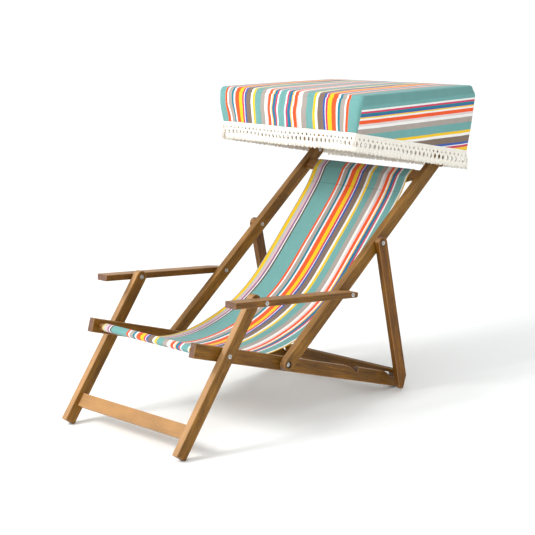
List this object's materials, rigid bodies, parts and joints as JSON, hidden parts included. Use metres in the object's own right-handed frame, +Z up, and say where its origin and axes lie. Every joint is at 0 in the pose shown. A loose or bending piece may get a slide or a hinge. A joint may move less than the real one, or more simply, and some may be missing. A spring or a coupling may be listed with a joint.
{
  "type": "folding deckchair",
  "caption": "Folding wooden deckchair with a slung canvas seat, armrests, a notched prop frame and a fringed box canopy over the head.",
  "frame": {"origin": "centre of the bounding box at floor level", "axes": "+X to the sitter's left, -Y to the front, +Z up; the chair is mirror-symmetric about X = 0"},
  "size_m": [0.6876, 1.315, 1.0005],
  "materials": {
    "oiled_wood": "oiled hardwood, satin, fine straight grain",
    "pale_oiled_wood": "oiled hardwood, satin, fine straight grain",
    "zinc": "zinc plated, slightly dull",
    "sling_canvas": "woven cotton canvas with lengthwise stripes",
    "canopy_canvas": "woven cotton canvas with stripes",
    "fringe_cotton": "white knotted cotton fringe"
  },
  "bodies": {
    "back": {"back_rail_left": "oiled_wood", "back_rail_right": "oiled_wood", "top_sling_bar": "oiled_wood", "sling_back": "sling_canvas", "back_hinge_bolt_left": "zinc", "back_hinge_bolt_right": "zinc", "back_hinge_nut_left": "zinc", "back_hinge_nut_right": "zinc", "back_hinge_washer_left": "zinc", "back_hinge_washer_right": "zinc"},
    "seat": {"seat_rail_left": "oiled_wood", "seat_rail_right": "oiled_wood", "front_sling_bar": "oiled_wood", "sling_seat": "sling_canvas"},
    "legs": {"leg_left": "oiled_wood", "leg_right": "oiled_wood", "leg_stretcher": "pale_oiled_wood", "leg_pivot_bolt_left": "zinc", "leg_pivot_bolt_right": "zinc", "leg_pivot_nut_left": "zinc", "leg_pivot_nut_right": "zinc", "leg_pivot_washer_left": "zinc", "leg_pivot_washer_right": "zinc", "arm_leg_stub_left": "zinc", "arm_leg_stub_right": "zinc"},
    "armrest_left": {"arm_left": "oiled_wood", "arm_back_bolt_left": "zinc", "arm_back_nut_left": "zinc", "arm_leg_bolt_left": "zinc"},
    "armrest_right": {"arm_right": "oiled_wood", "arm_back_bolt_right": "zinc", "arm_back_nut_right": "zinc", "arm_leg_bolt_right": "zinc"},
    "prop_frame": {"prop_left": "oiled_wood", "prop_right": "oiled_wood", "prop_cross_board": "oiled_wood", "prop_rod": "zinc", "prop_pivot_bolt_left": "zinc", "prop_pivot_bolt_right": "zinc", "prop_pivot_nut_left": "zinc", "prop_pivot_nut_right": "zinc"},
    "canopy": {"canopy_cover": "canopy_canvas", "canopy_fringe_front": "fringe_cotton", "canopy_fringe_rear": "fringe_cotton", "canopy_fringe_left": "fringe_cotton", "canopy_fringe_right": "fringe_cotton", "canopy_side_rail_left": "oiled_wood", "canopy_side_rail_right": "oiled_wood", "canopy_front_rail": "oiled_wood", "canopy_rear_rail": "oiled_wood", "canopy_arm_left": "oiled_wood", "canopy_arm_right": "oiled_wood", "canopy_pivot_bolt_left": "zinc", "canopy_pivot_bolt_right": "zinc", "canopy_pivot_nut_left": "zinc", "canopy_pivot_nut_right": "zinc"}
  },
  "joints": [
    {"name": "fold", "type": "hinge", "parent": "back", "child": "seat", "pos_m": [0, -0.19272, 0.1965], "axis": [1, 0, 0], "range_deg": [0, 55.8]},
    {"name": "leg_fold", "type": "hinge", "parent": "seat", "child": "legs", "pos_m": [0, -0.4325, 0.2772], "axis": [1, 0, 0], "range_deg": [-70.68, 0]},
    {"name": "arm_left_fold", "type": "hinge", "parent": "back", "child": "armrest_left", "pos_m": [0, 0.04903, 0.38], "axis": [1, 0, 0], "range_deg": [0, 44.5]},
    {"name": "arm_right_fold", "type": "hinge", "parent": "back", "child": "armrest_right", "pos_m": [0, 0.04903, 0.38], "axis": [1, 0, 0], "range_deg": [0, 44.5]},
    {"name": "prop_swing", "type": "hinge", "parent": "back", "child": "prop_frame", "pos_m": [0, 0.22466, 0.51331], "axis": [1, 0, 0], "range_deg": [0, 102.8]},
    {"name": "canopy_tilt", "type": "hinge", "parent": "back", "child": "canopy", "pos_m": [0, 0.51938, 0.73701], "axis": [1, 0, 0], "range_deg": [-5, 35]}
  ],
  "couplings": [
    {"joint": "leg_fold", "follows": "fold", "ratio": -1.2631},
    {"joint": "arm_left_fold", "follows": "fold", "ratio": 0.794},
    {"joint": "arm_right_fold", "follows": "fold", "ratio": 0.794},
    {"joint": "prop_swing", "follows": "fold", "ratio": 1.8387}
  ]
}
